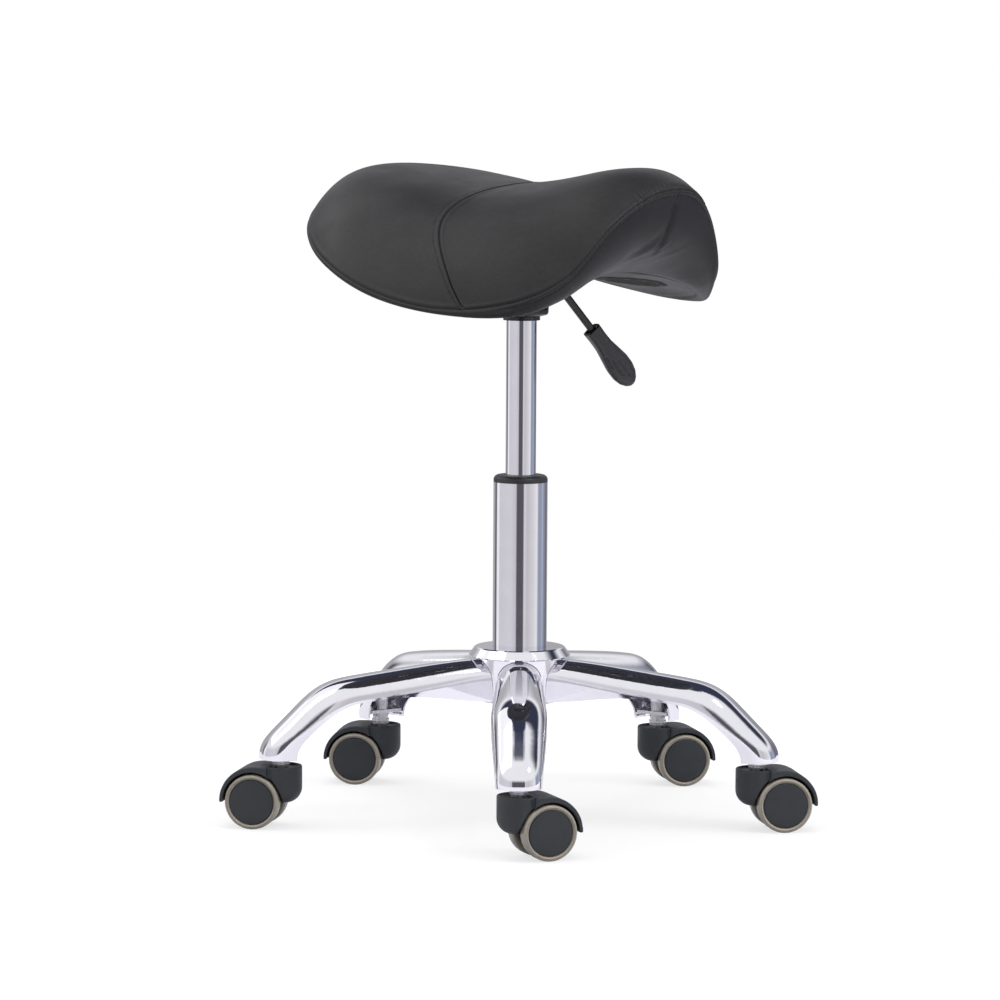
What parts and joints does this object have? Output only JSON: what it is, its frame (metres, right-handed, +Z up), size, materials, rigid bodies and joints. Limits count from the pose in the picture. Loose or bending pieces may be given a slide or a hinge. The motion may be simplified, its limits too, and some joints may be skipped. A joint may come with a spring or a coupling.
{
  "type": "rolling saddle stool",
  "caption": "Padded saddle-shaped stool seat on a gas-lift column with a height lever and an arched star base on swivelling double-wheel casters.",
  "frame": {"origin": "the column's axis where it meets the floor, with the seat at full height", "axes": "+X towards the front of the saddle (its raised horn), +Y to the sitter's left, +Z up"},
  "size_m": [0.5437, 0.4982, 0.6018],
  "materials": {
    "chrome_steel": "polished",
    "zinc_steel": "zinc plated",
    "black_steel": "semi-gloss black",
    "black_plastic": "fine satin",
    "charcoal_plastic": "satin",
    "tread": "satin taupe",
    "plywood": "raw",
    "upholstery": "soft semi-matt black coated fabric (artificial leather)"
  },
  "bodies": {
    "base": {"base_hub": "chrome_steel", "hub_collar": "chrome_steel", "leg_front": "chrome_steel", "leg_right": "chrome_steel", "leg_back_right": "chrome_steel", "leg_back_left": "chrome_steel", "leg_left": "chrome_steel", "caster_sockets": "zinc_steel", "column_tube": "chrome_steel", "column_bush": "black_plastic", "bearing_lower_race": "zinc_steel", "bearing_balls": "zinc_steel", "caster_front_stem": "zinc_steel", "caster_right_stem": "zinc_steel", "caster_back_right_stem": "zinc_steel", "caster_back_left_stem": "zinc_steel", "caster_left_stem": "zinc_steel"},
    "gas_piston": {"gas_rod": "zinc_steel", "bearing_upper_race": "zinc_steel"},
    "seat": {"gas_cylinder": "chrome_steel", "taper_socket": "black_steel", "mechanism_plate": "black_steel", "plate_bolts": "zinc_steel", "lever_bracket": "black_steel", "lever_pivot_pin": "zinc_steel", "seat_board": "plywood", "seat_cushion": "upholstery"},
    "release_lever": {"lever_rod": "black_steel", "lever_handle": "black_plastic"},
    "release_pin": {"release_pin": "zinc_steel"},
    "caster_front": {"caster_front_housing": "charcoal_plastic", "caster_front_axle": "zinc_steel"},
    "wheel_front_left": {"wheel_front_left_core": "charcoal_plastic", "wheel_front_left_tyre": "tread"},
    "wheel_front_right": {"wheel_front_right_core": "charcoal_plastic", "wheel_front_right_tyre": "tread"},
    "caster_right": {"caster_right_housing": "charcoal_plastic", "caster_right_axle": "zinc_steel"},
    "wheel_right_left": {"wheel_right_left_core": "charcoal_plastic", "wheel_right_left_tyre": "tread"},
    "wheel_right_right": {"wheel_right_right_core": "charcoal_plastic", "wheel_right_right_tyre": "tread"},
    "caster_back_right": {"caster_back_right_housing": "charcoal_plastic", "caster_back_right_axle": "zinc_steel"},
    "wheel_back_right_left": {"wheel_back_right_left_core": "charcoal_plastic", "wheel_back_right_left_tyre": "tread"},
    "wheel_back_right_right": {"wheel_back_right_right_core": "charcoal_plastic", "wheel_back_right_right_tyre": "tread"},
    "caster_back_left": {"caster_back_left_housing": "charcoal_plastic", "caster_back_left_axle": "zinc_steel"},
    "wheel_back_left_left": {"wheel_back_left_left_core": "charcoal_plastic", "wheel_back_left_left_tyre": "tread"},
    "wheel_back_left_right": {"wheel_back_left_right_core": "charcoal_plastic", "wheel_back_left_right_tyre": "tread"},
    "caster_left": {"caster_left_housing": "charcoal_plastic", "caster_left_axle": "zinc_steel"},
    "wheel_left_left": {"wheel_left_left_core": "charcoal_plastic", "wheel_left_left_tyre": "tread"},
    "wheel_left_right": {"wheel_left_right_core": "charcoal_plastic", "wheel_left_right_tyre": "tread"}
  },
  "joints": [
    {"name": "seat_swivel", "type": "hinge", "parent": "base", "child": "gas_piston", "pos_m": [0, 0, 0], "axis": [0, 0, 1], "continuous": true},
    {"name": "height_lift", "type": "slide", "parent": "gas_piston", "child": "seat", "axis": [0, 0, 1], "range_m": [-0.13, 0]},
    {"name": "lever_lift", "type": "hinge", "parent": "seat", "child": "release_lever", "pos_m": [0.01498, 0.0294, 0.4855], "axis": [0.891, -0.454, 0], "range_deg": [0, 5], "stiffness_Nm_per_rad": 2, "springref_deg": -5.73},
    {"name": "pin_press", "type": "slide", "parent": "seat", "child": "release_pin", "axis": [0, 0, -1], "range_m": [0, 0.003]},
    {"name": "caster_front_swivel", "type": "hinge", "parent": "base", "child": "caster_front", "pos_m": [0.12418, -0.19122, 0.06], "axis": [0, 0, 1], "continuous": true},
    {"name": "wheel_front_left_spin", "type": "hinge", "parent": "caster_front", "child": "wheel_front_left", "pos_m": [0.1374, -0.17301, 0.025], "axis": [-0.809, 0.5878, 0], "continuous": true},
    {"name": "wheel_front_right_spin", "type": "hinge", "parent": "caster_front", "child": "wheel_front_right", "pos_m": [0.1374, -0.17301, 0.025], "axis": [-0.809, 0.5878, 0], "continuous": true},
    {"name": "caster_right_swivel", "type": "hinge", "parent": "base", "child": "caster_right", "pos_m": [0.22023, 0.05901, 0.06], "axis": [0, 0, 1], "continuous": true},
    {"name": "wheel_right_left_spin", "type": "hinge", "parent": "caster_right", "child": "wheel_right_left", "pos_m": [0.23669, 0.07436, 0.025], "axis": [-0.682, 0.7314, 0], "continuous": true},
    {"name": "wheel_right_right_spin", "type": "hinge", "parent": "caster_right", "child": "wheel_right_right", "pos_m": [0.23669, 0.07436, 0.025], "axis": [-0.682, 0.7314, 0], "continuous": true},
    {"name": "caster_back_right_swivel", "type": "hinge", "parent": "base", "child": "caster_back_right", "pos_m": [0.01193, 0.22769, 0.06], "axis": [0, 0, 1], "continuous": true},
    {"name": "wheel_back_right_left_spin", "type": "hinge", "parent": "caster_back_right", "child": "wheel_back_right_left", "pos_m": [0.02756, 0.24387, 0.025], "axis": [-0.7193, 0.6947, 0], "continuous": true},
    {"name": "wheel_back_right_right_spin", "type": "hinge", "parent": "caster_back_right", "child": "wheel_back_right_right", "pos_m": [0.02756, 0.24387, 0.025], "axis": [-0.7193, 0.6947, 0], "continuous": true},
    {"name": "caster_back_left_swivel", "type": "hinge", "parent": "base", "child": "caster_back_left", "pos_m": [-0.21286, 0.08171, 0.06], "axis": [0, 0, 1], "continuous": true},
    {"name": "wheel_back_left_left_spin", "type": "hinge", "parent": "caster_back_left", "child": "wheel_back_left_left", "pos_m": [-0.23299, 0.07167, 0.025], "axis": [0.4462, -0.8949, 0], "continuous": true},
    {"name": "wheel_back_left_right_spin", "type": "hinge", "parent": "caster_back_left", "child": "wheel_back_left_right", "pos_m": [-0.23299, 0.07167, 0.025], "axis": [0.4462, -0.8949, 0], "continuous": true},
    {"name": "caster_left_swivel", "type": "hinge", "parent": "base", "child": "caster_left", "pos_m": [-0.14349, -0.17719, 0.06], "axis": [0, 0, 1], "continuous": true},
    {"name": "wheel_left_left_spin", "type": "hinge", "parent": "caster_left", "child": "wheel_left_left", "pos_m": [-0.16435, -0.18562, 0.025], "axis": [0.3746, -0.9272, 0], "continuous": true},
    {"name": "wheel_left_right_spin", "type": "hinge", "parent": "caster_left", "child": "wheel_left_right", "pos_m": [-0.16435, -0.18562, 0.025], "axis": [0.3746, -0.9272, 0], "continuous": true}
  ],
  "couplings": [
    {"joint": "pin_press", "follows": "lever_lift", "m_per_rad": 0.033}
  ]
}
